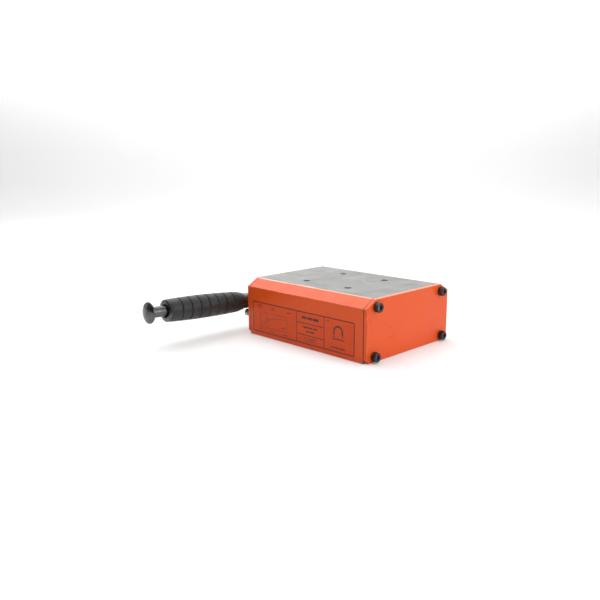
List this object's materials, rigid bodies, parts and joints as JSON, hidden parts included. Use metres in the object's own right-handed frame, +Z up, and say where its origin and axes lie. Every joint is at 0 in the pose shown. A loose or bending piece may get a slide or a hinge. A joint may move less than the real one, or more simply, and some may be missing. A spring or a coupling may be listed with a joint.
{
  "type": "lifting magnet",
  "caption": "Flat block permanent lifting magnet with a side lever that turns its magnet rotor, a push-button lock in the grip and tapped holes on top.",
  "frame": {"origin": "middle of the pole face that grips the load, at the bottom of the block", "axes": "+X along the block from the lever end to the plain end, -Y out of the long side with the label, +Z up through the top face with the tapped holes"},
  "size_m": [0.2656, 0.321, 0.0774],
  "materials": {
    "painted_steel": "satin orange paint over steel",
    "pole_steel": "ground mild steel",
    "magnet": "nickel-plated magnet",
    "brass": "machined brass",
    "aluminium": "milled aluminium",
    "bronze": "sintered bronze",
    "black_steel": "black oxide steel",
    "turned_steel": "turned steel, oiled",
    "spring_steel": "spring steel",
    "rubber": "matt rubber",
    "seal_rubber": "black rubber",
    "label": "printed foil"
  },
  "bodies": {
    "magnet_block": {"housing": "painted_steel", "front_pole_shoe": "pole_steel", "rear_pole_shoe": "pole_steel", "front_side_magnets": "magnet", "rear_side_magnets": "magnet", "front_edge_seal": "brass", "rear_edge_seal": "brass", "front_top_spacer": "aluminium", "rear_top_spacer": "aluminium", "pole_separator": "brass", "lever_side_bearing_block": "aluminium", "plain_side_bearing_block": "aluminium", "lever_side_shoe_screws": "black_steel", "plain_side_shoe_screws": "black_steel", "block_tie_screws": "black_steel", "lever_side_bush": "bronze", "plain_side_bush": "bronze", "thrust_washers": "bronze", "lever_end_plate": "painted_steel", "plain_end_plate": "painted_steel", "shaft_seal": "seal_rubber", "plain_side_cap_screws": "black_steel", "plain_side_spring_washers": "black_steel", "lever_side_flush_screws": "black_steel", "limit_pins": "turned_steel", "rating_label": "label"},
    "lever": {"front_rotor_pole": "pole_steel", "rear_rotor_pole": "pole_steel", "rotor_magnets": "magnet", "rotor_keepers": "brass", "rotor_screws": "black_steel", "lever_shaft": "turned_steel", "plain_shaft": "turned_steel", "lever_hub": "black_steel", "hub_key": "turned_steel", "hub_washer": "black_steel", "hub_screw": "black_steel", "lever_tube": "turned_steel", "rubber_grip": "rubber", "end_ferrule": "turned_steel", "return_spring": "spring_steel"},
    "knob": {"push_rod": "turned_steel", "release_knob": "turned_steel", "spring_seat": "turned_steel", "latch_key": "turned_steel", "latch_screw": "black_steel"}
  },
  "joints": [
    {"name": "lever_turn", "type": "hinge", "parent": "magnet_block", "child": "lever", "pos_m": [-0.1245, 0, 0.0386], "axis": [-1, 0, 0], "range_deg": [0, 174]},
    {"name": "knob_press", "type": "slide", "parent": "lever", "child": "knob", "axis": [0, 0.9986, -0.0523], "range_m": [0, 0.012], "stiffness_N_per_m": 900, "springref_m": -0.006, "deforming": ["return_spring"]}
  ]
}
